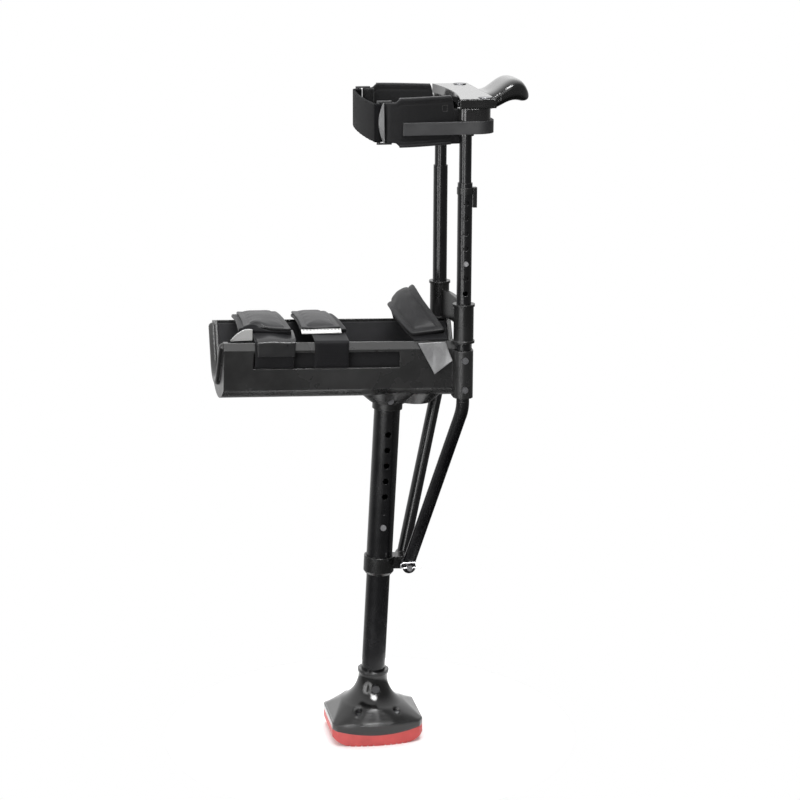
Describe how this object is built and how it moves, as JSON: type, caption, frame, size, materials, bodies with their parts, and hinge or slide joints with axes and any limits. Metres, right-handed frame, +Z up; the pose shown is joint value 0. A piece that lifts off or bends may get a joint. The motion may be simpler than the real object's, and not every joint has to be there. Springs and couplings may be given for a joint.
{
  "type": "hands-free knee crutch",
  "caption": "Crutch worn on the bent leg: padded shin tray with straps on a telescopic leg with a rocker foot, and telescopic uprights to a thigh band with a handle.",
  "frame": {"origin": "on the floor under the foot, where the axis of the leaning calf tube meets the sole's flat face", "axes": "+X forward, the way the handle points; +Y to the wearer's left; +Z up"},
  "size_m": [0.4131, 0.1846, 0.8943],
  "materials": {
    "painted_tube": "smooth black powder coat on drawn tube",
    "gloss_plastic": "polished black moulding",
    "matte_plastic": "fine textured black moulding",
    "grey_plastic": "dark grey moulding",
    "red_rubber": "red rubber",
    "pad_cloth": "black knitted cloth on foam",
    "webbing": "black woven webbing",
    "band_cloth": "black bonded cloth",
    "strap_vinyl": "grey coated cloth",
    "steel": "zinc plated",
    "bright_steel": "bright plated"
  },
  "bodies": {
    "lower_leg": {"calf_inner_tube": "painted_tube", "foot_shell": "gloss_plastic", "foot_sole": "red_rubber", "foot_screws": "steel", "foot_bolt": "steel", "calf_tube_plug": "matte_plastic", "calf_button_spring": "steel"},
    "frame": {"calf_outer_tube": "painted_tube", "leg_socket": "matte_plastic", "socket_screws": "steel", "knee_tray": "matte_plastic", "knee_pad": "pad_cloth", "strut_collar": "matte_plastic", "strut_left": "painted_tube", "strut_right": "painted_tube", "strut_pin": "bright_steel", "strut_pin_clip": "bright_steel", "strut_washers": "steel", "upright_outer_left": "painted_tube", "upright_outer_right": "painted_tube", "tray_screws": "steel", "cross_brace": "matte_plastic", "upright_clip": "matte_plastic", "rear_strap_webbing": "webbing", "rear_strap_pad": "strap_vinyl", "front_strap_webbing": "webbing", "front_strap_pad": "strap_vinyl", "knee_strap_webbing": "webbing", "knee_strap_pad": "strap_vinyl", "knee_strap_tail": "strap_vinyl"},
    "calf_button_body": {"calf_button": "bright_steel"},
    "upper_leg": {"upright_inner_left": "painted_tube", "upright_inner_right": "painted_tube", "upright_plugs": "matte_plastic", "upright_spring_left": "steel", "upright_spring_right": "steel", "thigh_yoke": "gloss_plastic", "handle": "gloss_plastic", "hand_grip": "gloss_plastic", "handle_bolts": "steel", "thigh_panel_left": "band_cloth", "thigh_panel_right": "band_cloth", "thigh_strap": "webbing", "thigh_buckles": "grey_plastic", "cuff_arm": "grey_plastic", "thigh_rivets": "steel"},
    "left_button_body": {"upright_button_left": "bright_steel"},
    "right_button_body": {"upright_button_right": "bright_steel"}
  },
  "joints": [
    {"name": "calf_slide", "type": "slide", "parent": "lower_leg", "child": "frame", "axis": [-0.0506, 0, -0.9987], "range_m": [0, 0.1284]},
    {"name": "calf_button_press", "type": "slide", "parent": "lower_leg", "child": "calf_button_body", "axis": [0, 1, 0], "range_m": [0, 0.0037], "stiffness_N_per_m": 1500, "deforming": ["calf_button_spring"]},
    {"name": "thigh_slide", "type": "slide", "parent": "frame", "child": "upper_leg", "axis": [0, 0, 1], "range_m": [-0.039, 0.078]},
    {"name": "left_button_press", "type": "slide", "parent": "upper_leg", "child": "left_button_body", "axis": [0, -1, 0], "range_m": [0, 0.0034], "stiffness_N_per_m": 1200, "deforming": ["upright_spring_left"]},
    {"name": "right_button_press", "type": "slide", "parent": "upper_leg", "child": "right_button_body", "axis": [0, 1, 0], "range_m": [0, 0.0034], "stiffness_N_per_m": 1200, "deforming": ["upright_spring_right"]}
  ]
}
